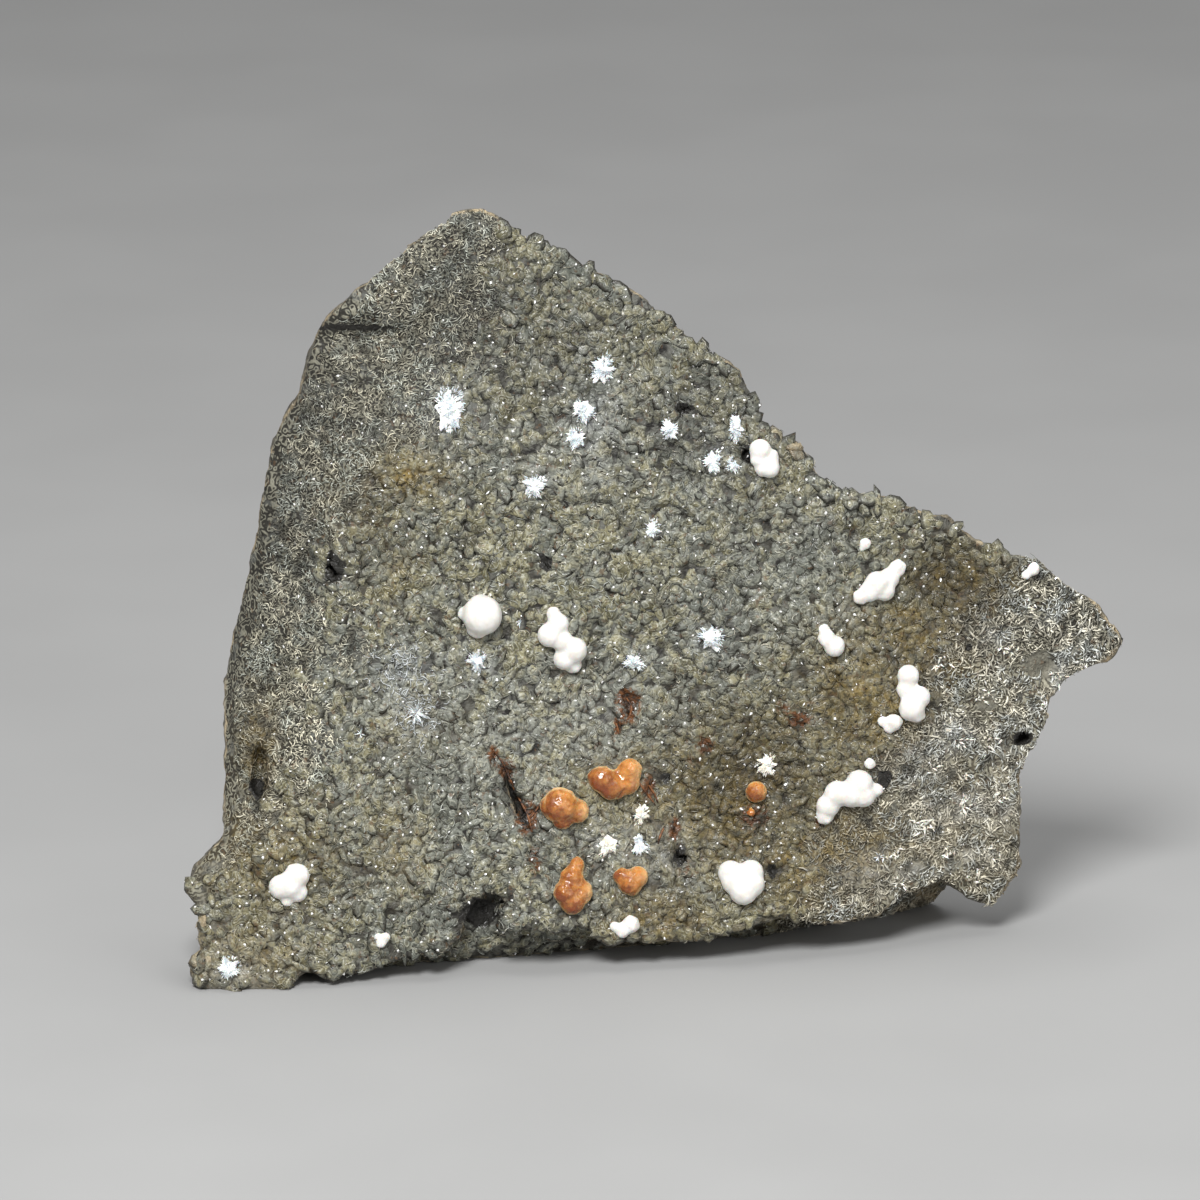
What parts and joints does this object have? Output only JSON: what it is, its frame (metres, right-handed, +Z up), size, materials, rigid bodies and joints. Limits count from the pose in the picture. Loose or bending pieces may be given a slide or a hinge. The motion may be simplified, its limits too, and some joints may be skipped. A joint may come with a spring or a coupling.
{
  "type": "mineral specimen",
  "caption": "Gonnardite specimen: a leaning slab of knobbly grey-green basalt with white and rust-coloured ball clusters and white needle sprays on its face.",
  "frame": {"origin": "under the middle of the specimen, on the plane it rests on", "axes": "+Z up; the crystal-covered face looks towards -Y; +X to the right as seen from the front"},
  "size_m": [0.1012, 0.0344, 0.0808],
  "materials": {
    "rock": "rough",
    "white_balls": "satin",
    "rusty_balls": "glossy",
    "white_sprays": "satin"
  },
  "bodies": {
    "root": {"rock_matrix": "rock", "rusty_ball_bead": "rusty_balls", "rusty_ball_fan": "rusty_balls", "rusty_ball_heart": "rusty_balls", "rusty_ball_left": "rusty_balls", "rusty_ball_pear": "rusty_balls", "rusty_ball_sunken_bead": "rusty_balls", "white_ball_bead_right": "white_balls", "white_ball_bead_top": "white_balls", "white_ball_bottom_edge": "white_balls", "white_ball_bottom_heart": "white_balls", "white_ball_bottom_left_bead": "white_balls", "white_ball_left_of_middle": "white_balls", "white_ball_lower_left": "white_balls", "white_ball_lower_right": "white_balls", "white_ball_middle": "white_balls", "white_ball_right_bean": "white_balls", "white_ball_right_corner": "white_balls", "white_ball_right_long": "white_balls", "white_ball_right_small": "white_balls", "white_ball_right_top": "white_balls", "white_ball_upper_right": "white_balls", "white_spray_above_middle": "white_sprays", "white_spray_below_ball": "white_sprays", "white_spray_below_middle": "white_sprays", "white_spray_cream_blue": "white_sprays", "white_spray_cream_large": "white_sprays", "white_spray_cream_right": "white_sprays", "white_spray_cream_small": "white_sprays", "white_spray_edge_low": "white_sprays", "white_spray_edge_small": "white_sprays", "white_spray_edge_tall": "white_sprays", "white_spray_left_foot": "white_sprays", "white_spray_middle_right": "white_sprays", "white_spray_snowflake": "white_sprays", "white_spray_top": "white_sprays", "white_spray_top_lower": "white_sprays", "white_spray_top_lowest": "white_sprays", "white_spray_upper_left": "white_sprays", "white_spray_upper_small": "white_sprays"}
  },
  "joints": []
}
